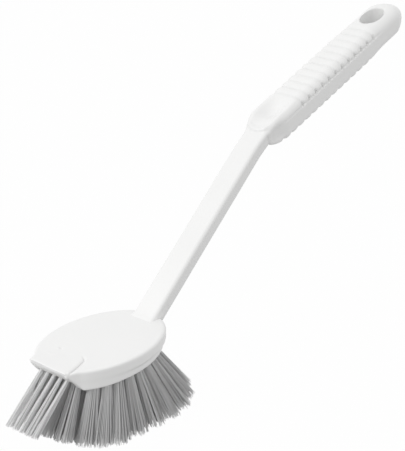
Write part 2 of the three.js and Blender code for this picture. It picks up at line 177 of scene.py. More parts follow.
def settle(piece: Object) -> None:
    """Bakes a piece's modifiers into its own mesh.

    Args:
        piece: The object whose modifiers are applied.
    """
    graph = bpy.context.evaluated_depsgraph_get()
    rough, name = piece.data, piece.data.name
    piece.data = bpy.data.meshes.new_from_object(piece.evaluated_get(graph))
    piece.modifiers.clear()
    bpy.data.meshes.remove(rough)
    piece.data.name = name


def combine(piece: Object, operation: str, tool: Object) -> None:
    """Joins a closed shape to a piece or cuts it out, and removes the shape.

    Args:
        piece: The piece that is changed.
        operation: The Boolean modifier's operation.
        tool: The shape, which is used up.
    """
    cut = piece.modifiers.new(tool.name, "BOOLEAN")
    cut.operation, cut.object, cut.solver = operation, tool, "EXACT"
    settle(piece)
    mesh = tool.data
    bpy.data.objects.remove(tool)
    bpy.data.meshes.remove(mesh)


def attach(piece: Object, finish: Material, slot: Slot, *nodes: str) -> None:
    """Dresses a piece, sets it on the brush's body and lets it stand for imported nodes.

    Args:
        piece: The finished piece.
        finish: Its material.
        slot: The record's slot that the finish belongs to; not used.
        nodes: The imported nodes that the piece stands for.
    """
    piece.data.materials.clear()
    piece.data.materials.append(finish)
    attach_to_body(piece, BODY)
    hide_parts(*nodes)
    LOG.info("%s: %d faces, stands for %s", piece.name, len(piece.data.polygons), ", ".join(nodes))


@dataclass
class Bench:
    """A node tree that is being wired."""

    tree: NodeTree

    def add(self, kind: str, **values: object) -> Node:
        """Adds a node and sets its plain values.

        Args:
            kind: The node's type name.
            values: Input values by socket name, with spaces written as underscores.

        Returns:
            The new node.
        """
        node = self.tree.nodes.new(kind)
        for name, value in values.items():
            node.inputs[name.replace("_", " ")].default_value = value
        return node

    def join(self, source: NodeSocket, target: NodeSocket) -> None:
        """Links two sockets."""
        self.tree.links.new(source, target)

    def spread(self, source: NodeSocket, low: float, high: float) -> NodeSocket:
        """Spreads a mask between two values.

        Args:
            source: The mask, mostly within 0.3 and 0.7.
            low: The value where the mask is dark.
            high: The value where the mask is light.

        Returns:
            The socket with the spread value.
        """
        node = self.add("ShaderNodeMapRange", From_Min=0.3, From_Max=0.7, To_Min=low, To_Max=high)
        self.join(source, node.inputs["Value"])
        return node.outputs["Result"]

    def tint(self, source: NodeSocket, dark: Triple, light: Triple) -> NodeSocket:
        """Turns a mask into a colour between two others.

        Args:
            source: The mask from 0 to 1.
            dark: The colour at 0.
            light: The colour at 1.

        Returns:
            The socket with the colour.
        """
        node = self.tree.nodes.new("ShaderNodeValToRGB")
        node.color_ramp.elements[0].color = (*dark, 1.0)
        node.color_ramp.elements[1].color = (*light, 1.0)
        self.join(source, node.inputs["Fac"])
        return node.outputs["Color"]

    def grain(self, mask: NodeSocket, shader: Node, strength: float, depth: float) -> None:
        """Gives a shader fine relief.

        Args:
            mask: The relief's height from 0 to 1.
            shader: The Principled BSDF.
            strength: The relief's strength.
            depth: Its depth in millimetres.
        """
        bump = self.add("ShaderNodeBump", Strength=strength, Distance=depth * MM)
        self.join(mask, bump.inputs["Height"])
        self.join(bump.outputs["Normal"], shader.inputs["Normal"])

    def any_ray(self, *kinds: str) -> NodeSocket:
        """Tells rays of some kinds from all others.

        Args:
            kinds: The Light Path outputs of those kinds.

        Returns:
            The socket that is 1 for a ray of any of the kinds.
        """
        rays = self.add("ShaderNodeLightPath")
        seen = rays.outputs[kinds[0]]
        for kind in kinds[1:]:
            larger = self.add("ShaderNodeMath")
            larger.operation = "MAXIMUM"
            self.join(seen, larger.inputs[0])
            self.join(rays.outputs[kind], larger.inputs[1])
            seen = larger.outputs["Value"]
        return seen


def surface_group() -> NodeTree:
    """Makes, once, the node group with the unevenness of a made surface.

    Returns:
        The group, with a Vector and two scales in, and a broad and a fine mask out.
    """
    made = bpy.data.node_groups.get("surface_unevenness")
    if made:
        return made
    tree = bpy.data.node_groups.new("surface_unevenness", "ShaderNodeTree")
    for name, kind in (("Vector", "Vector"), ("Broad Scale", "Float"), ("Fine Scale", "Float")):
        tree.interface.new_socket(name, in_out="INPUT", socket_type=f"NodeSocket{kind}")
    for name in ("Broad", "Fine"):
        tree.interface.new_socket(name, in_out="OUTPUT", socket_type="NodeSocketFloat")
    bench = Bench(tree)
    start, end = bench.add("NodeGroupInput"), bench.add("NodeGroupOutput")
    for name, detail in (("Broad", 3.0), ("Fine", 1.0)):
        noise = bench.add("ShaderNodeTexNoise", Detail=detail, Roughness=0.5)
        bench.join(start.outputs["Vector"], noise.inputs["Vector"])
        bench.join(start.outputs[f"{name} Scale"], noise.inputs["Scale"])
        bench.join(noise.outputs["Fac"], end.inputs[name])
    return tree


def place_unevenness(bench: Bench, broad: float, fine: float, stretch: Triple) -> Node:
    """Places the unevenness group on a piece's own coordinates.

    Args:
        bench: The material's node tree.
        broad: Waves per metre of the broad mask.
        fine: Waves per metre of the fine mask.
        stretch: Scale of the coordinates along each axis.

    Returns:
        The group node.
    """
    place = bench.add("ShaderNodeTexCoord")
    turn = bench.add("ShaderNodeMapping", Scale=stretch)
    bench.join(place.outputs["Object"], turn.inputs["Vector"])
    group = bench.tree.nodes.new("ShaderNodeGroup")
    group.node_tree = surface_group()
    group.inputs["Broad Scale"].default_value = broad
    group.inputs["Fine Scale"].default_value = fine
    bench.join(turn.outputs["Vector"], group.inputs["Vector"])
    return group


def new_material(name: str) -> tuple[Material, Bench, Node]:
    """Makes an empty material with a Principled BSDF.

    Args:
        name: The material's name.

    Returns:
        The material, its bench and its Principled BSDF.
    """
    material = bpy.data.materials.new(name)
    material.use_nodes = True
    bench = Bench(material.node_tree)
    material.node_tree.nodes.clear()
    shader, out = bench.add("ShaderNodeBsdfPrincipled"), bench.add("ShaderNodeOutputMaterial")
    bench.join(shader.outputs["BSDF"], out.inputs["Surface"])
    return material, bench, shader


@dataclass(frozen=True)
class Finish:
    """A surface between two shades, with uneven gloss and a fine grain."""

    slot: Slot
    shade: Triple
    light: Triple
    inputs: tuple[tuple[str, float], ...]
    waves: Span
    roughness: Span
    grain_strength: float
    grain_depth: float
    stretch: Triple = (1.0, 1.0, 1.0)
    gloss_mask: str = "Broad"
    tone: str = ""

    def material(self) -> Material:
        """Makes the surface's material.

        Returns:
            The material, named after its slot.
        """
        material, bench, shader = new_material(self.slot.value)
        for name, value in self.inputs:
            shader.inputs[name].default_value = value
        group = place_unevenness(bench, *self.waves, self.stretch)
        mask = group.outputs["Broad"]
        if self.tone:
            strand = bench.add("ShaderNodeAttribute")
            strand.attribute_name = self.tone
            mask = strand.outputs["Fac"]
        bench.join(bench.tint(mask, self.shade, self.light), shader.inputs["Base Color"])
        gloss = bench.spread(group.outputs[self.gloss_mask], *self.roughness)
        bench.join(gloss, shader.inputs["Roughness"])
        bench.grain(group.outputs["Fine"], shader, self.grain_strength, self.grain_depth)
        return material


@dataclass(frozen=True)
class MouldedPolypropylene(Finish):
    """White satin plastic with the faint grain of its mould."""

    slot: Slot = Slot.WHITE
    shade: Triple = (0.835, 0.835, 0.83)
    light: Triple = (0.865, 0.865, 0.86)
    inputs: tuple[tuple[str, float], ...] = (("IOR", 1.49),)
    waves: Span = (45.0, 2600.0)
    roughness: Span = (0.34, 0.44)
    grain_strength: float = 0.5
    grain_depth: float = 0.012


@dataclass(frozen=True)
class PolyesterFilament(Finish):
    """Pale round filament, with a tone of its own for each strand, and painted light that makes the front
    row's strands paler.
    """

    slot: Slot = Slot.FILAMENT
    shade: Triple = (0.38, 0.38, 0.38)
    # The pale end is reached mostly by the front row, whose strands carry painted light.
    light: Triple = (0.95, 0.95, 0.95)
    inputs: tuple[tuple[str, float], ...] = (("IOR", 1.55),)
    waves: Span = (300.0, 4000.0)
    roughness: Span = (0.3, 0.46)
    grain_strength: float = 0.1
    grain_depth: float = 0.004
    tone: str = STRAND_TONE_AND_PAINTED_LIGHT


@dataclass(frozen=True)
class AnchorSteel(Finish):
    """Rolled stainless strip, with fine lines along it."""

    slot: Slot = Slot.STEEL
    shade: Triple = (0.5, 0.51, 0.53)
    light: Triple = (0.64, 0.65, 0.67)
    inputs: tuple[tuple[str, float], ...] = (("Metallic", 1.0),)
    waves: Span = (900.0, 6000.0)
    roughness: Span = (0.22, 0.4)
    grain_strength: float = 0.3
    grain_depth: float = 0.005
    stretch: Triple = (1.0, 0.06, 1.0)
    gloss_mask: str = "Fine"


@dataclass(frozen=True)
class StudioPaper:
    """White paper, which the camera and reflections see as white but for the object's shadow."""

    colour: float = 0.52
    whiteness: float = 0.985
    roughness: float = 0.9

    def material(self) -> Material:
        """Makes the paper's material.

        Returns:
            The material.
        """
        material, bench, shader = new_material("studio_paper")
        shader.inputs["Base Color"].default_value = (self.colour, self.colour, self.colour, 1.0)
        shader.inputs["Roughness"].default_value = self.roughness
        shader.inputs["Specular IOR Level"].default_value = 0.0
        glow = bench.add("ShaderNodeEmission", Color=WHITE, Strength=1.0)
        seen = bench.any_ray("Is Camera Ray", "Is Glossy Ray", "Is Transmission Ray")
        share = bench.add("ShaderNodeMath")
        share.operation = "MULTIPLY"
        share.inputs[1].default_value = self.whiteness
        bench.join(seen, share.inputs[0])
        mix = bench.add("ShaderNodeMixShader")
        bench.join(share.outputs["Value"], mix.inputs["Fac"])
        bench.join(shader.outputs["BSDF"], mix.inputs[1])
        bench.join(glow.outputs["Emission"], mix.inputs[2])
        out = next(node for node in bench.tree.nodes if node.type == "OUTPUT_MATERIAL")
        bench.join(mix.outputs["Shader"], out.inputs["Surface"])
        return material


@dataclass
class Bar:
    """The neck and the grip: one bar, skinned through its cross sections."""

    head_length: float = 70.4
    neck_setback: float = 8.6
    neck_angle: float = math.radians(39.8)
    neck_length: float = 108.0
    neck_width: float = 12.4
    neck_top: float = 3.55
    neck_bottom: float = 3.95
    spine_depth: float = 3.9
    neck_fillet: float = 0.5
    neck_fillet_length: float = 3.0
    neck_root: float = 3.0
    neck_corner: float = 1.8
    grip_angle: float = math.radians(18.4)
    grip_length: float = 128.5
    grip_width: float = 19.4
    grip_top: float = 7.4
    grip_bottom: float = 7.4
    grip_bottom_growth: float = 1.0
    grip_corner_width: float = 5.0
    grip_corner_height: float = 4.9
    grip_low_corner: float = 3.0
    end_round: float = 13.0
    end_flatness: float = 1.2
    end_point: float = 0.3
    end_softness: float = 0.42
    bend_reach: float = 12.0
    nose_lead: float = 2.5
    nose_end: float = 9.5
    chin_start: float = 1.0
    chin_end: float = 14.0
    thumb_start: float = 1.0
    thumb_length: float = 26.0
    thumb_depth: float = 3.7
    thumb_edge: float = 2.2
    lip_height: float = 0.9
    lip_smile: float = 0.07
    lip_side: Span = (4.2, 7.0)
    lip_rise: Span = (-0.6, 0.5)
    lip_fall: Span = (0.7, 3.4)
    thumb_power: float = 1.3
    dish_power: float = 1.5
    hollow_depth: float = 1.7
    hollow_rise: Span = (-1.0, 4.0)
    hollow_fall: Span = (6.0, 14.0)
    hollow_low: Span = (-7.5, -2.5)
    hollow_high: float = 6.5
    rib_pitch: float = 6.0
    first_groove: float = 28.0
    grooves: int = 12
    groove_depth: float = 0.7
    groove_power: float = 1.3
    pocket_depth: float = 2.6
    pocket_power: int = 5
    pocket_reach: float = 2.8
    ledge_height: float = 2.5
    ledge_step: float = 0.3
    ledge_blur: float = 0.4
    ledge_rise: Span = (7.0, 15.0)
    sill: Span = (0.3, 1.6)
    rib_fade: float = 4.0
    first_scallop: float = 10.0
    scallops: int = 14
    scallop_depth: float = 0.7
    scallop_reach: float = 3.4
    scallop_floor: float = 0.8
    low_reach: float = 4.0
    soft_lead: float = 16.0
    soft_most: float = 0.95
    soft_turn: float = 0.8
    hole_from_end: float = 21.0
    hole_length: float = 16.4
    hole_width: float = 11.0
    hole_round: float = 1.3
    hole_lip: float = 0.3
    hole_clearance: float = 1.2
    hole_steps: int = 6
    hole_points: int = 64
    neck_step: float = 8.0
    fine_lead: float = 16.0
    fillet_steps: int = 6
    end_steps: int = 20
    station_step: float = 0.4
    facets: tuple[int, ...] = (10, 14, 16, 24, 12)

    def __post_init__(self) -> None:
        """Works out where the neck starts and where the grip starts."""
        self.neck_along = Vector((math.cos(self.neck_angle), 0.0, math.sin(self.neck_angle)))
        self.neck_up = Vector((-math.sin(self.neck_angle), 0.0, math.cos(self.neck_angle)))
        self.grip_along = Vector((math.cos(self.grip_angle), 0.0, math.sin(self.grip_angle)))
        self.grip_up = Vector((-math.sin(self.grip_angle), 0.0, math.cos(self.grip_angle)))
        top = Vector((self.head_length / 2 - self.neck_setback, 0.0, 0.0))
        self.grip_start = top - self.neck_up * self.spine_depth + self.neck_along * self.neck_length

    def spine(self, distance: float) -> tuple[Vector, Vector]:
        """Finds the middle of the bar.

        Args:
            distance: Distance from the start of the grip, negative on the neck.

        Returns:
            The middle point and the direction that is up there.
        """
        turn = (distance + self.bend_reach) / (2.0 * self.bend_reach)
        if turn <= 0.0:
            return self.grip_start + self.neck_along * distance, self.neck_up
        if turn >= 1.0:
            return self.grip_start + self.grip_along * distance, self.grip_up
        start = self.grip_start - self.neck_along * self.bend_reach
        end = self.grip_start + self.grip_along * self.bend_reach
        low, high = start.lerp(self.grip_start, turn), self.grip_start.lerp(end, turn)
        along = (high - low).normalized()
        return low.lerp(high, turn), Vector((-along.z, 0.0, along.x))

    def wave(self, distance: float, first: float, count: int) -> float:
        """Finds how far a distance lies in a row of grooves.

        Args:
            distance: Distance from the start of the grip.
            first: The middle of the first groove.
            count: The number of grooves.

        Returns:
            0 on a rib and 1 in the middle of a groove.
        """
        turn = (distance - first) / self.rib_pitch
        if turn < -0.5 or turn > count - 0.5:
            return 0.0
        return (1.0 + math.cos(2.0 * math.pi * turn)) / 2.0

    def lip(self, distance: float, across: float) -> float:
        """Returns the height of the lip at the lower end of the thumb rest.

        Args:
            distance: Distance from the start of the grip.
            across: Distance from the middle of the bar.

        Returns:
            The height that is added to the top.
        """
        reach = distance - self.lip_smile * across * across
        side = 1.0 - ease(abs(across), *self.lip_side)
        return self.lip_height * swell(reach, self.lip_rise, self.lip_fall) * side

    def outline(
        self, half_width: float, top: float, bottom: float, widen: float, soft: float
    ) -> list[tuple[float, float]]:
        """Finds the right half of a plain section with rounded corners, from its lowest point to its highest.

        Args:
            half_width: Half the section's width.
            top: Its height above the spine.
            bottom: Its depth below the spine.
            widen: 0 on the neck and 1 on the grip.
            soft: 0 where the corners have their own size and 1 where they take up the whole section.

        Returns:
            Pairs of a distance across and a height.
        """
        wide = min(between(self.neck_corner, self.grip_corner_width, widen), half_width)
        tall = min(between(self.neck_corner, self.grip_corner_height, widen), top)
        low = min(between(self.neck_corner, self.grip_low_corner, widen), half_width, bottom)
        wide, tall = between(wide, half_width, soft), between(tall, top, soft)
        low_wide, low_tall = between(low, half_width, soft), between(low, bottom, soft)
        flat_low, turn_low, upright, turn_high, flat_high = self.facets
        half = [((half_width - low_wide) * step / flat_low, -bottom) for step in range(flat_low)]
        for step in range(turn_low):
            angle = math.pi / 2 * step / turn_low
            across = half_width - low_wide * (1.0 - math.sin(angle))
            half.append((across, -bottom + low_tall * (1.0 - math.cos(angle))))
        walls = (low_tall - bottom, top - tall)
        half += [(half_width, between(*walls, step / upright)) for step in range(upright)]
        for step in range(turn_high):
            angle = math.pi / 2 * step / turn_high
            half.append((half_width - wide * (1.0 - math.cos(angle)), top - tall * (1.0 - math.sin(angle))))
        half += [((half_width - wide) * (1.0 - step / flat_high), top) for step in range(flat_high + 1)]
        return half

    def section(self, distance: float) -> list[Vector]:
        """Finds one closed cross section with its grooves, thumb rest and scallops.

        Args:
            distance: Distance from the start of the grip.

        Returns:
            The section's points, in the brush's frame.
        """
        middle, up = self.spine(distance)
        widen = ease(distance, -self.nose_lead, self.nose_end)
        deepen = bulge(distance, self.chin_start, self.chin_end)
        foot = 1.0 - ease(distance, -self.neck_length, self.neck_fillet_length - self.neck_length)
        fillet = self.neck_fillet * foot
        end_turn = max(0.0, distance - self.grip_length + self.end_round) / self.end_round
        narrow = max(math.sqrt(max(0.0, 1.0 - end_turn * end_turn)), self.end_point / self.grip_width)
        flatten = narrow ** self.end_flatness
        growth = self.grip_bottom_growth * max(0.0, distance) / self.grip_length
        half_width = (between(self.neck_width, self.grip_width, widen) / 2 + fillet) * narrow
        low_half = (between(self.neck_width, self.grip_width, deepen) / 2 + fillet) * narrow
        top = (between(self.neck_top, self.grip_top, widen) + fillet) * flatten
        bottom = (between(self.neck_bottom, self.grip_bottom + growth, deepen) + fillet) * flatten
        thumb_turn = clamp((distance - self.thumb_start) / self.thumb_length)
        dish = self.thumb_depth * math.sin(math.pi * thumb_turn) ** self.thumb_power
        dish_half = half_width - min(self.thumb_edge, half_width / 2)
        groove = self.wave(distance, self.first_groove, self.grooves)
        scallop = self.wave(distance, self.first_scallop, self.scallops)
        last_groove = self.first_groove + self.rib_pitch * self.grooves
        ribs_end = (last_groove - self.rib_fade, last_groove + self.rib_fade)
        ribbed = swell(distance, self.ledge_rise, ribs_end)
        hollow = self.hollow_depth * swell(distance, self.hollow_rise, self.hollow_fall)
        soft = self.end_softness * ease(distance, last_groove - self.soft_lead, ribs_end[1])
        soft += (self.soft_most - self.end_softness) * ease(end_turn, 0.0, self.soft_turn)
        shelf = (self.ledge_height - self.ledge_blur, self.ledge_height + self.ledge_blur)
        pocket_end = (shelf[1], self.ledge_height + self.pocket_reach)
        sill_end = (self.ledge_height + self.sill[0], self.ledge_height + self.sill[1])
        right = []
        for across, height in self.outline(half_width, top, bottom, widen, soft):
            side, sill = swell(height, shelf, pocket_end), swell(height, shelf, sill_end)
            below = ease(-height, bottom - self.scallop_reach, bottom - self.scallop_floor)
            cut = groove ** self.groove_power * self.groove_depth * ease(height, *shelf)
            cut += groove ** self.pocket_power * (self.pocket_depth - self.groove_depth) * side
            cut += self.ledge_step * ribbed * sill + self.scallop_depth * scallop ** 2 * below
            across *= between(low_half / half_width, 1.0, ease(height, 0.0, self.low_reach))
            across -= hollow * swell(height, self.hollow_low, (top - self.hollow_high, top))
            pull = 1.0 - cut / max(math.hypot(across, height), 1.0)
            across, height = across * pull, height * pull
            if height > 0.0:
                height -= dish * max(0.0, 1.0 - (across / dish_half) ** 2) ** self.dish_power
                height += self.lip(distance, across)
            right.append((across, height))
        left = [(-across, height) for across, height in reversed(right[1:-1])]
        return [middle + up * height + Vector((0.0, across, 0.0)) for across, height in right + left]

    def stations(self) -> list[float]:
        """Lists where the sections lie, close together from the nose of the grip on.

        Returns:
            Their distances from the start of the grip.
        """
        foot = -self.neck_length
        plain = [foot - self.neck_root]
        steps = self.fillet_steps
        plain += [foot + self.neck_fillet_length * step / steps for step in range(steps + 1)]
        along = int((self.neck_length - self.fine_lead) / self.neck_step)
        plain += [foot + self.neck_step * step for step in range(1, along)]
        first, last = -self.fine_lead, self.grip_length - self.end_round
        count = round((last - first) / self.station_step)
        fine = [between(first, last, step / count) for step in range(count)]
        turns = [math.pi / 2 * step / self.end_steps for step in range(self.end_steps + 1)]
        return plain + fine + [last + self.end_round * math.sin(turn) for turn in turns]

    def hole_cutter(self) -> Object:
        """Makes the shape of the hang hole, which widens to a round rim at both faces.

        Returns:
            The cutter.
        """
        middle, up = self.spine(self.grip_length - self.hole_from_end)
        low, high = -self.grip_bottom - self.grip_bottom_growth, self.grip_top
        rings, steps = [], self.hole_steps
        rim = [self.hole_round * step / steps for step in range(steps + 1)]
        heights = [low - self.hole_clearance, *(low + inward - self.hole_lip for inward in rim)]
        heights += [high - inward + self.hole_lip for inward in reversed(rim)] + [high + self.hole_clearance]
        for height in heights:
            reach = min(height - low, high - height)
            turn = clamp(1.0 - (reach + self.hole_lip) / self.hole_round)
            wide = self.hole_round * (1.0 - math.sqrt(1.0 - turn * turn))
            ring = []
            for number in range(self.hole_points):
                angle = 2.0 * math.pi * number / self.hole_points
                along = (self.hole_length / 2 + wide) * math.cos(angle)
                across = (self.hole_width / 2 + wide) * math.sin(angle)
                ring.append(middle + self.grip_along * along + up * height + Vector((0.0, across, 0.0)))
            rings.append(ring)
        shape = bmesh.new()
        wrap_rings(shape, rings)
        return new_piece("hang_hole", shape)

    def build(self) -> Object:
        """Skins the bar and cuts its hang hole.

        Returns:
            The bar as one closed skin.
        """
        shape = bmesh.new()
        wrap_rings(shape, [self.section(distance) for distance in self.stations()])
        bar = new_piece("bar", shape)
        combine(bar, "DIFFERENCE", self.hole_cutter())
        return bar


@dataclass(frozen=True)
class HeadLevel:
    """One level of the head's skin: its height, and how far it lies inside the largest outline."""

    height: float
    inset: float = 0.0
    step: float = 0.0
    round_in: float = 0.0
    round_down: float = 0.0


@dataclass
class Head:
    """The oval head: a rim with a rounded shoulder, the tufts' bed below it, and the scraper at its front."""

    length: float = 70.4
    width: float = 46.0
    height: float = 8.9
    rim_height: float = 5.2
    front_shoulder: float = 0.5
    rear_shoulder: float = 1.5
    front_step: float = 0.1
    rear_step: float = 1.3
    shoulder_span: Span = (-25.0, 28.0)
    corner: float = 0.45
    trim: float = 1.0
    edge_share: float = 0.6
    scraper_width: float = 21.0
    tongue_length: float = 17.8
    tongue_straight: float = 12.6
    tongue_taper: float = 2.5
    tongue_rise: float = 0.4
    tongue_lift: float = 0.06
    tongue_sink: float = 0.2
    far_rise: float = 0.6
    edge_round: float = 1.3
    edge_drop: float = 0.5
    edge_profile: tuple[Span, ...] = ((0.0, 0.4), (0.25, 0.2), (0.8, 0.05))
    edge_width: float = 1.6
    edge_fit: float = 2.0
    cheek_depth: float = 7.8
    cheek_width: float = 0.5
    cheek_slope: float = 0.8
    blade_height: float = 1.5
    face_edge: float = 0.14
    face_slant: float = 0.5
    tip_height: float = 1.0
    far_height: float = 3.7
    far_share: float = 0.55
    middle_height: float = 2.9
    near_share: float = 0.6
    lift_span: Span = (-8.0, 0.0)
    rise_span: Span = (-8.0, 8.0)
    undercut_depth: float = 7.6
    undercut_side: float = 0.8
    undercut_flare: float = 3.4
    far_undercut: float = 11.0
    flank_blur: float = 0.6
    ceiling_depth: float = 4.4
    ceiling_margin: float = 0.5
    recess_depth: float = 14.0
    recess_width: float = 20.6
    recess_height: float = -5.7
    recess_clearance: float = 10.0
    skirt: float = 0.5
    skirt_side: Span = (0.0, 8.0)
    skirt_span: Span = (6.0, 27.0)
    groove_depth: float = 0.6
    groove_width: float = 1.1
    groove_gap: float = 0.15
    groove_start: float = 2.0
    groove_far: float = 6.0
    groove_margin: float = 2.0
    groove_layer: float = 0.6
    groove_reach: float = 3.0
    groove_fade: Span = (-7.6, -3.5)
    ear_middle: Vector = field(default_factory=lambda: Vector((2.0, -10.3, -1.3)))
    ear_size: Vector = field(default_factory=lambda: Vector((1.9, 1.0, 1.7)))
    tail_start: float = -28.5
    points: int = 288

    @property
    def front(self) -> float:
        """Where the head is trimmed off for the scraper."""
        return -self.length / 2 + self.trim

    def tail(self, y: float) -> tuple[float, float]:
        """Moves a point of the oval's front end out to the scraper's straight edge and its two flared sides.

        Args:
            y: The point's distance from the middle line.

        Returns:
            The moved point's X and Y.
        """
        wide = self.width / 2 * math.sqrt(1.0 - (2.0 * self.tail_start / self.length) ** 2)
        edge, turn, half = self.edge_share, min(abs(y) / wide, 1.0), self.scraper_width / 2
        if turn < edge:
            return self.front, math.copysign(half * turn / edge, y)
        share = (turn - edge) / (1.0 - edge)
        return between(self.front, self.tail_start, share), math.copysign(between(half, wide, share), y)

    def ring(self, level: HeadLevel) -> list[Vector]:
        """Finds the head's outline at one level, behind the undercut below the scraper.

        Args:
            level: The level.

        Returns:
            The outline's points.
        """
        blade = self.tongue_rise - self.blade_height
        sunk = max(0.0, (blade - level.height) / (self.height + blade))
        half = self.scraper_width / 2 + self.undercut_side + self.undercut_flare * sunk
        back = self.front + self.undercut_depth * sunk
        ring = []
        for number in range(self.points):
            angle = 2.0 * math.pi * (number + 0.5) / self.points
            x, y = self.length / 2 * math.cos(angle), self.width / 2 * math.sin(angle)
            if x < self.tail_start:
                x, y = self.tail(y)
            rear = ease(x, *self.shoulder_span)
            shoulder = between(self.front_shoulder, self.rear_shoulder, rear)
            inset = level.inset + level.step * between(self.front_step, self.rear_step, rear)
            inset += level.round_in * shoulder
            height = level.height - level.round_down * shoulder
            x, y = x * (1.0 - 2.0 * inset / self.length), y * (1.0 - 2.0 * inset / self.width)
            flank = ease(abs(y), half - self.flank_blur, half + self.flank_blur)
            x = max(x, between(back, self.front + (self.far_undercut * sunk if y > 0.0 else 0.0), flank))
            low = max(0.0, -height - self.rim_height) / (self.height - self.rim_height)
            skirt = self.skirt * (1.0 - ease(y, *self.skirt_side))
            ring.append(Vector((x, y, height - skirt * low * ease(-x, *self.skirt_span))))
        return ring

    def body(self, shape: BMesh) -> None:
        """Adds the head's closed skin to a bmesh, from the flat top down to the underside.

        Args:
            shape: The bmesh, which has nothing else in it.
        """
        rim, foot, corner = -self.rim_height, -self.height, self.corner
        turns = [math.pi / 2 * step / 8 for step in range(9)]
        levels = [HeadLevel(0.0, round_in=1.0 - math.sin(a), round_down=1.0 - math.cos(a)) for a in turns]
        levels += [HeadLevel(between(-self.rear_shoulder, rim + corner, step / 5)) for step in range(1, 6)]
        levels += [HeadLevel(rim + 0.15 * corner, 0.15 * corner), HeadLevel(rim, step=1.0)]
        levels += [HeadLevel(between(rim, foot + corner, step / 5), step=1.0) for step in range(1, 6)]
        levels += [HeadLevel(foot + 0.3 * corner, 0.3 * corner, 1.0), HeadLevel(foot, corner, 1.0)]
        wrap_rings(shape, [self.ring(level) for level in levels])

    def recess_cutter(self) -> Object:
        """Makes the shape of the recess under the scraper, in front of the bed.

        Returns:
            The cutter.
        """
        shape = bmesh.new()
        bmesh.ops.create_cube(shape, size=1.0)
        size = Vector((self.recess_depth + self.recess_clearance, self.recess_width, self.height))
        middle = Vector((self.front + self.recess_depth - size.x / 2, 0.0, self.recess_height - size.z / 2))
        return place_unit("recess", shape, size, middle)

    def groove_line(self) -> list[Vector]:
        """Finds the groove's line from above: along the tongue's near side and round its rear end.

        Returns:
            The line's points, in metres.
        """
        half, start = self.scraper_width / 2 + self.groove_gap, self.front - self.groove_gap
        bend = self.tongue_length - self.tongue_straight + self.groove_gap
        corner, rear, steps = self.front + self.tongue_straight, half - self.tongue_taper, 16
        line = []
        for share in (step / steps for step in range(1, steps)):
            line.append(Vector((between(start, corner, share), self.tongue_taper * share * share - half)))
        for turn in (math.pi * (step / steps - 1.0) / 2 for step in range(2 * steps + 1)):
            line.append(Vector((corner + bend * math.cos(turn), rear * math.sin(turn))))
        first = self.front + self.groove_start
        return [point * MM for point in line if point.x > first and point.y < self.groove_far]

    def tongue_half(self, ahead: float) -> float:
        """Finds how wide the tongue is.

        Args:
            ahead: Distance behind the scraper's edge.

        Returns:
            Half its width.
        """
        straight = self.scraper_width / 2 - self.tongue_taper * min(ahead / self.tongue_straight, 1.0) ** 2
        turn = max(0.0, ahead - self.tongue_straight) / (self.tongue_length - self.tongue_straight)
        return straight * math.sqrt(max(0.0, 1.0 - turn * turn))

    def tongue_section(self, ahead: float) -> list[Vector]:
        """Finds one closed section across the scraper's wedge, with the far cheek of the recess below it.

        Args:
            ahead: The section's distance behind the scraper's edge.

        Returns:
            The section's points.
        """
        half = self.tongue_half(ahead)
        turn = max(0.0, 1.0 - ahead / self.edge_round)
        front_drop = self.edge_drop * (1.0 - math.sqrt(1.0 - turn * turn))
        depth = ahead * self.height / self.undercut_depth
        ceiling = min(depth, self.ceiling_depth)
        cheek, lowest = ceiling, math.inf
        if ahead < self.tongue_straight:
            cheek = min(self.cheek_slope * depth, self.cheek_depth)
            lowest = self.ceiling_depth + self.blade_height - self.ceiling_margin
        inner = half - min(self.cheek_width, half / 2)
        fit = min(1.0, half / self.edge_fit)
        edges = [(inset * fit, drop) for inset, drop in self.edge_profile]
        flat = half - self.edge_width * fit
        across = [(inset - half, drop) for inset, drop in edges]
        across += [(between(-flat, flat, step / 12), 0.0) for step in range(13)]
        across += [(half - inset, drop) for inset, drop in reversed(edges)]
        x, line = self.front + ahead, []
        for y, drop in across:
            line.append(Vector((x, y, self.tongue_top(ahead, y) - max(drop, front_drop))))
        below = [(y, self.tip_height, self.tip_height + cheek) for y in (half, inner)]
        roof = [(inner, self.tip_height), (self.far_share * half, self.far_height)]
        roof += [(y, self.middle_height) for y in (-self.near_share * half, -half)]
        below += [(y, blade, min(blade + ceiling, lowest)) for y, blade in roof]
        for y, blade, deep in below:
            slant = self.face_slant * (blade - self.edge_drop)
            line.append(Vector((x + slant, y, self.tongue_top(0.0, y) - deep)))
        return line

    def tongue_top(self, ahead: float, y: float) -> float:
        """Finds the height of the tongue's top, which is proud at its near side and its front edge.

        Args:
            ahead: Distance behind the scraper's edge.
            y: Distance from the middle line.

        Returns:
            The height.
        """
        lift = self.tongue_lift - self.tongue_sink * ease(y, *self.lift_span)
        rise = self.tongue_rise + self.far_rise * ease(y, *self.rise_span)
        return lift + rise * (1.0 - ahead / self.tongue_length)

    def tongue(self, shape: BMesh) -> None:
        """Adds the scraper's wedge to a bmesh: flush at its round rear, proud at its rounded front edge.

        Args:
            shape: The bmesh, which has nothing else in it.
        """
        bend = self.tongue_length - self.tongue_straight
        stations = [self.edge_round * (1.0 - math.cos(math.pi / 2 * step / 8)) for step in range(9)]
        stations += [between(self.edge_round, self.tongue_straight, step / 24) for step in range(1, 25)]
        stations += [self.tongue_straight + bend * math.sin(math.pi / 2 * step / 12) for step in range(1, 12)]
        wrap_rings(shape, [self.tongue_section(ahead) for ahead in stations])
        ends = [face for face in shape.faces if len(face.verts) > 4]
        front = min(ends, key=lambda face: face.calc_center_median().x)
        bmesh.ops.inset_individual(shape, faces=[front], thickness=self.face_edge * MM)

    def ear(self) -> Object:
        """Makes the rounded ear at the near corner of the scraper.

        Returns:
            The ear.
        """
        shape = bmesh.new()
        bmesh.ops.create_uvsphere(shape, u_segments=32, v_segments=20, radius=1.0)
        middle = self.ear_middle + Vector((self.front, 0.0, 0.0))
        return place_unit("ear", shape, self.ear_size, middle)

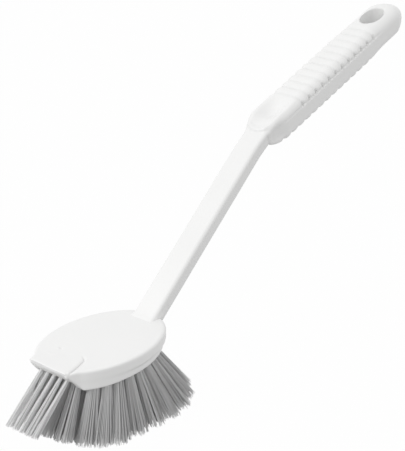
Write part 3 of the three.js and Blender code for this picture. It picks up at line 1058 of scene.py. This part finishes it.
    def press_groove(self, shape: BMesh) -> None:
        """Presses the fine groove round the tongue into the head's top, deepest at its near rear corner.

        Args:
            shape: The head's skin, in metres.
        """
        line = self.groove_line()
        low, high = self.front * MM, (self.front + self.tongue_length + self.groove_margin) * MM
        wide = (self.scraper_width / 2 + self.groove_margin) * MM

        def away(vert: BMVert) -> float:
            """Finds a vertex's distance from the groove.

            Args:
                vert: The vertex.

            Returns:
                The distance in widths of the groove, or infinity off the head's top.
            """
            if abs(vert.co.z) > self.groove_layer * MM or not low < vert.co.x < high or abs(vert.co.y) > wide:
                return math.inf
            return min((vert.co.xy - point).length for point in line) / (self.groove_width * MM)

        close = {vert for vert in shape.verts if away(vert) < self.groove_reach}
        edges = [edge for edge in shape.edges if edge.verts[0] in close and edge.verts[1] in close]
        bmesh.ops.subdivide_edges(shape, edges=edges, cuts=2, use_grid_fill=True)
        for vert in shape.verts:
            widths = away(vert)
            if widths < self.groove_reach:
                fade = 1.0 - ease(vert.co.y / MM, *self.groove_fade)
                vert.co.z -= self.groove_depth * MM * math.exp(-2.0 * widths * widths) * fade


@dataclass
class Handle:
    """The whole white moulding: the bar and the head as one body."""

    bar: Bar = field(default_factory=Bar)
    head: Head = field(default_factory=Head)
    grid: float = 0.45
    smoothing: int = 3
    gate_mark: Vector = field(default_factory=lambda: Vector((-17.5, 7.8, 0.0)))
    gate_radius: float = 1.1
    gate_depth: float = 0.8
    gate_taper: Span = (0.3, 1.7)

    def build(self) -> Object:
        """Joins the bar and the head into one closed moulding with soft inner corners.

        Returns:
            The moulding.
        """
        shape = bmesh.new()
        self.head.body(shape)
        handle = new_piece("moulded_handle", shape)
        combine(handle, "DIFFERENCE", self.head.recess_cutter())
        melt = handle.modifiers.new("melt", "REMESH")
        melt.mode, melt.voxel_size, melt.adaptivity = "VOXEL", self.grid * MM, 0.0
        settle(handle)
        self.soften(handle)
        combine(handle, "DIFFERENCE", self.gate_cutter())
        shape = bmesh.new()
        self.head.tongue(shape)
        combine(handle, "UNION", new_piece("tongue", shape))
        combine(handle, "UNION", self.head.ear())
        combine(handle, "UNION", self.bar.build())
        handle.data.shade_smooth()
        return handle

    def soften(self, head: Object) -> None:
        """Rounds the head's edges a little and presses in the groove round the tongue.

        Args:
            head: The head's skin.
        """
        shape = bmesh.new()
        shape.from_mesh(head.data)
        for _ in range(self.smoothing):
            bmesh.ops.smooth_vert(
                shape, verts=shape.verts[:], factor=0.5, use_axis_x=True, use_axis_y=True, use_axis_z=True
            )
        self.head.press_groove(shape)
        shape.to_mesh(head.data)
        shape.free()

    def gate_cutter(self) -> Object:
        """Makes the shape of the small dimple where the plastic was fed in.

        Returns:
            The cutter.
        """
        shape = bmesh.new()
        low, high = (share * self.gate_radius * MM for share in self.gate_taper)
        depth = 2.0 * self.gate_depth * MM
        bmesh.ops.create_cone(shape, cap_ends=True, segments=20, radius1=low, radius2=high, depth=depth)
        bmesh.ops.translate(shape, vec=self.gate_mark * MM, verts=shape.verts[:])
        return new_piece("gate", shape)

    def dress(self, handle: Object, finish: MouldedPolypropylene) -> None:
        """Gives the moulding its plastic and its place."""
        attach(handle, finish.material(), Slot.WHITE, "handle")


@dataclass(frozen=True)
class Tuft:
    """One bundle of filament."""

    x: float
    y: float
    root: float
    lean: Vector
    diameter: float
    filaments: int
    reach: float


@dataclass
class TuftField:
    """The tufts under the head: a front row, and rings of bundles that fan out."""

    bed_half_length: float = 34.4
    bed_half_width: float = 22.2
    bed_front: float = -20.2
    wall: float = 1.8
    front_wall: float = 0.3
    rear_wall: float = 6.6
    front_count: int = 5
    front_pitch: float = 3.8
    front_shift: float = 1.0
    front_row: float = -27.2
    front_root: float = -4.8
    front_lean: float = 1.08
    front_diameter: float = 1.9
    front_filaments: int = 30
    front_reach: float = 20.3
    flank_row: float = -22.0
    flank_width: float = 7.4
    flank_lean: float = 0.6
    flank_diameter: float = 3.6
    flank_filaments: int = 88
    flank_reach: float = 26.5
    corner_width: float = 13.6
    tuft_diameter: float = 5.0
    tuft_filaments: int = 170
    rings: int = 3
    outer_count: int = 20
    middle_count: int = 13
    inner_count: int = 8
    centre_count: int = 3
    centre_pitch: float = 6.0
    root_height: float = -8.2
    filament_diameter: float = 0.36
    filament_length: float = 30.2
    trim_height: float = 24.6
    flare_middle: float = 2.1
    flare_front: float = 29.0
    flare_rear: float = 34.8
    flare_most: float = 0.76
    flare_across: float = 50.0
    flare_across_rear: float = 1.4
    corner_calm: float = 0.54
    calm_along: Span = (10.0, 18.0)
    calm_across: Span = (10.5, 13.0)
    fan: float = 0.132
    stray: float = 0.006
    turn_noise: float = 0.3
    end_noise: float = 0.05
    bend_noise: float = 0.1
    ring_power: float = 0.6
    tip_light: float = 0.34
    tone: float = 0.45
    # Painted light: the slim front row gets a paler tone than the other tufts, standing in for the light that
    # falls on it.
    front_painted_light: float = 0.54
    tuft_spread: float = 0.06
    strand_spread: float = 0.025
    front_spread: float = 0.28
    blend: float = 0.68
    curve_points: int = 400
    sides: int = 4
    steps: int = 5
    seed: int = 11

    def __post_init__(self) -> None:
        """Works out where the rings of tufts lie."""
        edge = self.wall + self.tuft_diameter / 2
        self.front_half_length = self.bed_half_length - edge
        self.half_length = self.bed_half_length - self.rear_wall - self.tuft_diameter / 2
        self.half_width = self.bed_half_width - edge
        self.step = self.half_width / self.rings
        inner_front = self.bed_front + self.front_wall + self.tuft_diameter / 2 - self.step
        self.middle = (inner_front + self.half_length) / 2
        self.inner_half_length = (self.half_length - inner_front) / 2

    def spaced(self, curve: list[Vector], count: int) -> list[Vector]:
        """Spaces points evenly along a line of many points.

        Args:
            curve: The line's points.
            count: The number of points to space, with one at each end.

        Returns:
            The spaced points.
        """
        lengths = [0.0]
        for start, end in zip(curve, curve[1:]):
            lengths.append(lengths[-1] + (end - start).length)
        points, at = [], 0
        for number in range(count):
            while at + 1 < len(curve) and lengths[at] < lengths[-1] * number / (count - 1) - 1e-9:
                at += 1
            points.append(curve[at])
        return points

    def oval(self, middle: float, half_length: float, half_width: float, reach: float) -> list[Vector]:
        """Draws an oval, or the part of it round the rear of the head.

        Args:
            middle: The oval's middle along X.
            half_length: Its half axis along X.
            half_width: Its half axis along Y.
            reach: The angle that it reaches to each side of the rear.

        Returns:
            Many points along it.
        """
        count = self.curve_points
        angles = (reach * step / count for step in range(-count, count + 1))
        return [Vector((middle + half_length * math.cos(a), half_width * math.sin(a), 0.0)) for a in angles]

    def tufts(self, ring: Ring) -> list[Tuft]:
        """Lists the tufts of a group.

        Args:
            ring: The front row or a ring.

        Returns:
            Its tufts.
        """
        if ring is Ring.FRONT:
            return self.front_tufts()
        if ring is Ring.OUTER:
            reach = math.pi - math.asin(self.corner_width / self.half_width)
            curve = self.oval(0.0, self.half_length, self.half_width, reach)
            for point in curve:
                point.x *= self.front_half_length / self.half_length if point.x < 0.0 else 1.0
            points = self.spaced(curve, self.outer_count)
            return [self.ring_tuft(point) for point in points]
        steps, count = (1, self.middle_count) if ring is Ring.MIDDLE else (2, self.inner_count)
        inward = steps * self.step
        curve = self.oval(self.middle, self.inner_half_length - inward, self.half_width - inward, math.pi)
        points = self.spaced(curve, count + 1)[:-1]
        if ring is Ring.INNER:
            start = self.middle - self.centre_pitch * (self.centre_count - 1) / 2
            row = (start + self.centre_pitch * number for number in range(self.centre_count))
            points += [Vector((x, 0.0, 0.0)) for x in row]
        return [self.ring_tuft(point) for point in points]

    def front_tufts(self) -> list[Tuft]:
        """Lists the tufts of the recess under the scraper: a slim row, and one behind it at each side.

        Returns:
            The tufts.
        """
        tufts = []
        lean = Vector((-self.front_lean, 0.0, -1.0))
        slim = (self.front_diameter, self.front_filaments, self.front_reach)
        for number in range(self.front_count):
            y = (number - (self.front_count - 1) / 2) * self.front_pitch + self.front_shift
            tufts.append(Tuft(self.front_row, y, self.front_root, lean, *slim))
        flank = (self.flank_diameter, self.flank_filaments, self.flank_reach)
        for y in (-self.flank_width, self.flank_width):
            lean = Vector((-self.flank_lean, y / self.flare_across, -1.0))
            tufts.append(Tuft(self.flank_row, y, self.front_root, lean, *flank))
        return tufts

    def ring_tuft(self, point: Vector) -> Tuft:
        """Makes a tuft of the bed, which leans outwards the further out it stands.

        Args:
            point: Where it stands.

        Returns:
            The tuft.
        """
        corner = ease(-point.x, *self.calm_along) * ease(abs(point.y), *self.calm_across)
        calm = 1.0 - self.corner_calm * corner
        ahead = point.x - self.flare_middle
        along = min(ahead / (self.flare_front if ahead < 0.0 else self.flare_rear), self.flare_most)
        rear = max(point.x, 0.0) / self.bed_half_length
        across = point.y / self.flare_across * (1.0 + self.flare_across_rear * rear)
        lean = Vector((along * calm, across * calm, -1.0))
        thick = (self.tuft_diameter, self.tuft_filaments, self.trim_height)
        return Tuft(point.x, point.y, self.root_height, lean, *thick)

    def path(self, tuft: Tuft, number: int, dice: random.Random) -> list[Vector]:
        """Finds the line of one filament.

        Args:
            tuft: Its tuft.
            number: Its number in the tuft, from the middle outwards.
            dice: The seeded source of its unevenness.

        Returns:
            The points along its middle, from root to tip.
        """
        out = math.sqrt((number + 0.5) / tuft.filaments)
        turn = number * GOLDEN_TURN + dice.uniform(-self.turn_noise, self.turn_noise)
        offset = Vector((math.cos(turn), math.sin(turn), 0.0)) * out
        lean = tuft.lean + offset * self.fan * tuft.diameter / self.tuft_diameter
        lean += Vector((dice.gauss(0.0, self.stray), dice.gauss(0.0, self.stray), 0.0))
        drop = min(self.filament_length / lean.length, tuft.reach) + dice.gauss(0.0, self.end_noise)
        bend = Vector((dice.gauss(0.0, self.bend_noise), dice.gauss(0.0, self.bend_noise), 0.0))
        start = Vector((tuft.x, tuft.y, tuft.root)) + offset * (tuft.diameter - self.filament_diameter) / 2
        line = []
        for step in range(self.steps + 1):
            share = (step / self.steps) ** self.ring_power
            line.append(start + lean * drop * share + bend * math.sin(math.pi * share))
        return line

    def template(self) -> Mesh:
        """Makes one straight filament, whose height counts its rings.

        Returns:
            The filament's mesh.
        """
        shape = bmesh.new()
        rings = []
        for step in range(self.steps + 1):
            turns = (2.0 * math.pi * side / self.sides for side in range(self.sides))
            ring = [Vector((math.cos(turn), math.sin(turn), step)) for turn in turns]
            rings.append([point * self.filament_diameter / 2 for point in ring])
        wrap_rings(shape, rings)
        mesh = bpy.data.meshes.new("filament")
        shape.to_mesh(mesh)
        shape.free()
        return mesh

    def build(self, ring: Ring) -> Object:
        """Plants every filament of a group of tufts.

        Args:
            ring: The front row or a ring.

        Returns:
            The group's filaments as one piece.
        """
        dice = random.Random(f"{self.seed} {ring.value}")
        template, tufts = self.template(), self.tufts(ring)
        shape = bmesh.new()
        for _ in range(sum(tuft.filaments for tuft in tufts)):
            shape.from_mesh(template)
        shape.verts.ensure_lookup_table()
        tone = shape.verts.layers.float.new(STRAND_TONE_AND_PAINTED_LIGHT)
        size, first = len(template.vertices), 0
        scale = 2.0 / (self.filament_diameter * MM)
        normals = []
        for tuft in tufts:
            slim = tuft.diameter < self.flank_diameter
            tuft_tone_and_painted_light = self.tone + dice.uniform(-self.tuft_spread, self.tuft_spread)
            # Painted light: the slim front tufts are made paler for the light that falls on them.
            tuft_tone_and_painted_light += self.front_painted_light if slim else 0.0
            spread = self.front_spread if slim else self.strand_spread
            for number in range(tuft.filaments):
                line = self.path(tuft, number, dice)
                outward = (line[0] - Vector((tuft.x, tuft.y, tuft.root))) * 2.0 / tuft.diameter
                strand_tone_and_painted_light = clamp(tuft_tone_and_painted_light + dice.gauss(0.0, spread))
                for vert in shape.verts[first:first + size]:
                    step, side = round(vert.co.z * scale), Vector((vert.co.x, vert.co.y, 0.0))
                    normals.append(side.normalized().lerp(outward, self.blend).normalized())
                    vert.co = side + line[step] * MM
                    tip = ease(step, self.steps - 1, self.steps)
                    vert[tone] = min(strand_tone_and_painted_light + self.tip_light * tip, 1.0)
                first += size
        bpy.data.meshes.remove(template)
        bmesh.ops.recalc_face_normals(shape, faces=shape.faces[:])
        piece = new_piece(f"tufts_{ring.value}", shape)
        piece.data.normals_split_custom_set_from_vertices(normals)
        return piece

    def dress(self, tufts: Object, ring: Ring, finish: Material) -> None:
        """Gives a group of tufts its filament and its place."""
        attach(tufts, finish, Slot.FILAMENT, f"bristles_{ring.value}")


class Anchors:
    """The steel anchors inside the head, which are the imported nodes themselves."""

    def dress(self, finish: AnchorSteel) -> None:
        """Gives every anchor its steel.

        Args:
            finish: The steel.
        """
        steel = finish.material()
        names = sorted(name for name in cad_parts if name.startswith("anchor_"))
        for name in names:
            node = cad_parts[name]
            node.data.materials.clear()
            node.data.materials.append(steel)
        LOG.info("%d anchors dressed", len(names))


@dataclass(frozen=True)
class SoftBox:
    """A square studio light that points at the middle of the brush."""

    name: str
    place: Triple
    size: float
    power: float
    target: Triple = (0.08, 0.0, 0.04)

    def build(self) -> None:
        """Sets the light up."""
        lamp = bpy.data.lights.new(self.name, "AREA")
        lamp.shape, lamp.size, lamp.energy = "SQUARE", self.size, self.power
        light = bpy.data.objects.new(self.name, lamp)
        light.location = self.place
        light.rotation_euler = (Vector(self.target) - Vector(self.place)).to_track_quat("-Z", "Y").to_euler()
        bpy.context.scene.collection.objects.link(light)


@dataclass
class Studio:
    """The camera, the floor and the light."""

    camera_place: Triple = (-0.401965, -0.370051, 0.282119)
    camera_right: Triple = (0.62177, -0.78301, 0.01742)
    camera_up: Triple = (0.29102, 0.25163, 0.92303)
    camera_back: Triple = (-0.72713, -0.56884, 0.38432)
    focal_pixels: float = 1380.65
    frame_height: int = 451
    sensor: float = 36.0
    floor_size: float = 12.0
    world_strength: float = 0.86
    lights: tuple[SoftBox, ...] = (
        SoftBox("key", (-1.1, 0.42, 0.92), 0.5, 6.3),
    )

    def camera(self) -> None:
        """Sets the camera up where the photograph was taken from."""
        data = bpy.data.cameras.new("camera")
        data.sensor_width = self.sensor
        data.lens = self.focal_pixels * self.sensor / self.frame_height
        data.clip_start, data.clip_end = 0.01, 50.0
        camera = bpy.data.objects.new("camera", data)
        turn = Matrix((self.camera_right, self.camera_up, self.camera_back)).transposed()
        camera.matrix_world = Matrix.Translation(self.camera_place) @ turn.to_4x4()
        bpy.context.scene.collection.objects.link(camera)
        bpy.context.scene.camera = camera

    def floor(self, height: float) -> None:
        """Lays the floor under the bristles.

        Args:
            height: The height of the lowest tips, in metres.
        """
        shape = bmesh.new()
        bmesh.ops.create_grid(shape, x_segments=1, y_segments=1, size=self.floor_size / 2)
        bmesh.ops.translate(shape, verts=shape.verts[:], vec=(0.0, 0.0, height))
        floor = new_piece("floor", shape)
        floor.data.materials.append(StudioPaper().material())
        floor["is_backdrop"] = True

    def light(self) -> None:
        """Sets up the lamps and the room's even light."""
        world = bpy.data.worlds.new("studio")
        bpy.context.scene.world = world
        world.use_nodes = True
        bench = Bench(world.node_tree)
        world.node_tree.nodes.clear()
        even = bench.add("ShaderNodeBackground", Color=WHITE, Strength=self.world_strength)
        seen = bench.add("ShaderNodeBackground", Color=WHITE, Strength=1.0)
        mix = bench.add("ShaderNodeMixShader")
        out = bench.add("ShaderNodeOutputWorld")
        bench.join(bench.any_ray("Is Camera Ray", "Is Glossy Ray"), mix.inputs["Fac"])
        bench.join(even.outputs["Background"], mix.inputs[1])
        bench.join(seen.outputs["Background"], mix.inputs[2])
        bench.join(mix.outputs["Shader"], out.inputs["Surface"])
        for box in self.lights:
            box.build()


def main() -> None:
    """Builds the brush and its studio in order."""
    logging.basicConfig(level=logging.INFO, format="%(message)s")
    bpy.context.scene.view_settings.view_transform = "Standard"
    studio = Studio()
    studio.camera()
    handle = Handle()
    handle.dress(handle.build(), MouldedPolypropylene())
    tufts, filament = TuftField(), PolyesterFilament().material()
    for ring in Ring:
        tufts.dress(tufts.build(ring), ring, filament)
    Anchors().dress(AnchorSteel())
    studio.floor(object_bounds()[0].z)
    studio.light()


if __name__ == "__main__":
    main()
